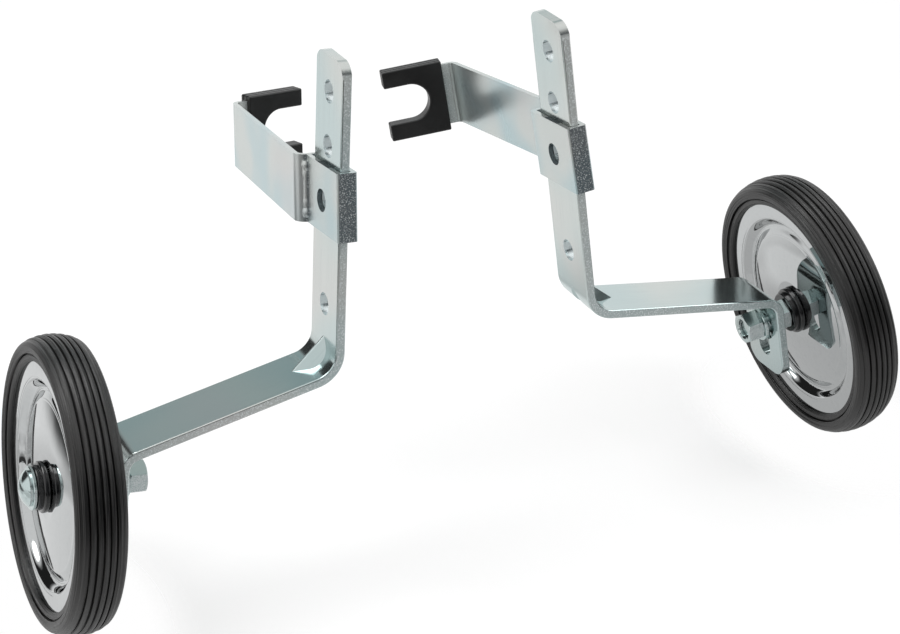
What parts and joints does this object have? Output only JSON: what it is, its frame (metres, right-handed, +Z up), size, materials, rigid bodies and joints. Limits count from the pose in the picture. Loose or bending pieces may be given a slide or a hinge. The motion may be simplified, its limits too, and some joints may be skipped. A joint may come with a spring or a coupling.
{
  "type": "bicycle training wheels",
  "caption": "Left and right stabiliser wheels for a child's bicycle: bent flat-bar brackets with a sliding stay fork and a rubber-tyred disc wheel on a slotted axle tab.",
  "frame": {"origin": "midpoint of the bicycle's rear axle line, halfway between the centres of the two sleeved axle holes", "axes": "+X to the bicycle's right along the axle, +Y forward, +Z up"},
  "size_m": [0.4306, 0.2076, 0.2452],
  "materials": {
    "zinc_plate": "bright zinc plating with a faint blue cast",
    "zinc_fastener": "bright zinc plating",
    "chrome": "polished chrome plating",
    "tyre": "satin black rubber",
    "soft_cover": "satin black moulding",
    "bush": "glossy black moulding"
  },
  "bodies": {
    "brackets": {"left_bracket_bar": "zinc_plate", "right_bracket_bar": "zinc_plate"},
    "left_sleeve": {"left_fork_sleeve": "zinc_plate", "left_fork_cover": "soft_cover"},
    "left_axle": {"left_axle_bolt": "zinc_fastener", "left_head_washer": "zinc_fastener", "left_spacer_nut": "zinc_fastener", "left_tooth_washer": "zinc_fastener", "left_flat_washer": "zinc_fastener", "left_clamp_nut": "zinc_fastener"},
    "left_wheel": {"left_tyre": "tyre", "left_outer_disc": "chrome", "left_inner_disc": "chrome", "left_outer_bush": "bush", "left_inner_bush": "bush"},
    "right_sleeve": {"right_fork_sleeve": "zinc_plate", "right_fork_cover": "soft_cover"},
    "right_axle": {"right_axle_bolt": "zinc_fastener", "right_head_washer": "zinc_fastener", "right_spacer_nut": "zinc_fastener", "right_tooth_washer": "zinc_fastener", "right_flat_washer": "zinc_fastener", "right_clamp_nut": "zinc_fastener"},
    "right_wheel": {"right_tyre": "tyre", "right_outer_disc": "chrome", "right_inner_disc": "chrome", "right_outer_bush": "bush", "right_inner_bush": "bush"}
  },
  "joints": [
    {"name": "left_sleeve_slide", "type": "slide", "parent": "brackets", "child": "left_sleeve", "axis": [0.0872, 0, 0.9962], "range_m": [-0.0508, 0.0508]},
    {"name": "left_axle_slide", "type": "slide", "parent": "brackets", "child": "left_axle", "axis": [0.1426, 0, 0.9898], "range_m": [-0.014, 0]},
    {"name": "left_wheel_spin", "type": "hinge", "parent": "left_axle", "child": "left_wheel", "pos_m": [-0.17082, 0, -0.11382], "axis": [-0.9898, 0, 0.1426], "continuous": true},
    {"name": "right_sleeve_slide", "type": "slide", "parent": "brackets", "child": "right_sleeve", "axis": [-0.0872, 0, 0.9962], "range_m": [-0.0508, 0.0508]},
    {"name": "right_axle_slide", "type": "slide", "parent": "brackets", "child": "right_axle", "axis": [-0.1426, 0, 0.9898], "range_m": [-0.014, 0]},
    {"name": "right_wheel_spin", "type": "hinge", "parent": "right_axle", "child": "right_wheel", "pos_m": [0.17082, 0, -0.11382], "axis": [0.9898, 0, 0.1426], "continuous": true}
  ]
}
